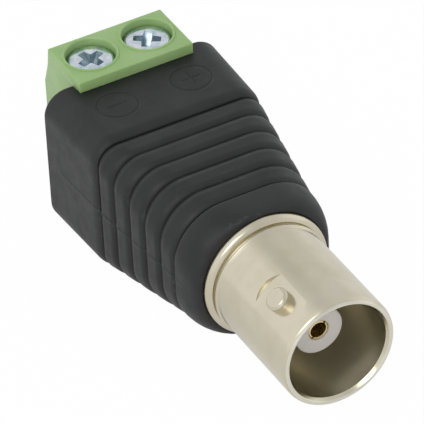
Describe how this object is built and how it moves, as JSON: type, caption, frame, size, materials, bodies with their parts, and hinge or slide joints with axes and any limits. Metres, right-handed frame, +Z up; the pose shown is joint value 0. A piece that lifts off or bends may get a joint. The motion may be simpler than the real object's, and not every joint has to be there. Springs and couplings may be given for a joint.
{
  "type": "bnc screw terminal adapter",
  "caption": "Coaxial bayonet jack to screw terminal block adapter in a ribbed moulded body, for joining bare wires to a coaxial plug without solder.",
  "frame": {"origin": "centre of the jack's mouth, on the jack's axis", "axes": "+Y back along the jack's axis to the terminal block, +Z up to the clamp screws, +X to the plus pole"},
  "size_m": [0.0156, 0.0381, 0.0137],
  "materials": {
    "body_black": "matte moulded, lightly scuffed",
    "nickel": "bright nickel plate with a warm tint",
    "white_insulator": "smooth",
    "gold_contact": "gold plated",
    "tin": "dull tin plate",
    "sleeve_red": "shrunk tube",
    "terminal_green": "satin moulded",
    "zinc": "bright zinc plate with a blue tint"
  },
  "bodies": {
    "adapter": {"body_shell": "body_black", "jack_shell": "nickel", "bayonet_pin_upper": "nickel", "bayonet_pin_lower": "nickel", "front_insulator": "white_insulator", "rear_insulator": "white_insulator", "centre_contact": "gold_contact", "retaining_bush": "nickel", "ground_tag": "tin", "ground_link": "tin", "signal_link": "tin", "link_sleeve": "sleeve_red", "terminal_housing": "terminal_green", "contact_bar_left": "tin", "contact_bar_right": "tin"},
    "left_screw": {"screw_left": "zinc"},
    "right_screw": {"screw_right": "zinc"},
    "left_cage": {"cage_left": "zinc"},
    "right_cage": {"cage_right": "zinc"}
  },
  "joints": [
    {"name": "screw_left_turn", "type": "hinge", "parent": "adapter", "child": "left_screw", "pos_m": [-0.00254, 0.0346, 0.00535], "axis": [0, 0, 1], "range_deg": [-1224, 0]},
    {"name": "screw_right_turn", "type": "hinge", "parent": "adapter", "child": "right_screw", "pos_m": [0.00254, 0.0346, 0.00535], "axis": [0, 0, 1], "range_deg": [-1224, 0]},
    {"name": "cage_left_lift", "type": "slide", "parent": "adapter", "child": "left_cage", "axis": [0, 0, 1], "range_m": [0, 0.0017]},
    {"name": "cage_right_lift", "type": "slide", "parent": "adapter", "child": "right_cage", "axis": [0, 0, 1], "range_m": [0, 0.0017]}
  ],
  "couplings": [
    {"joint": "screw_left_turn", "follows": "cage_left_lift", "rad_per_m": -12566},
    {"joint": "screw_right_turn", "follows": "cage_right_lift", "rad_per_m": -12566}
  ]
}
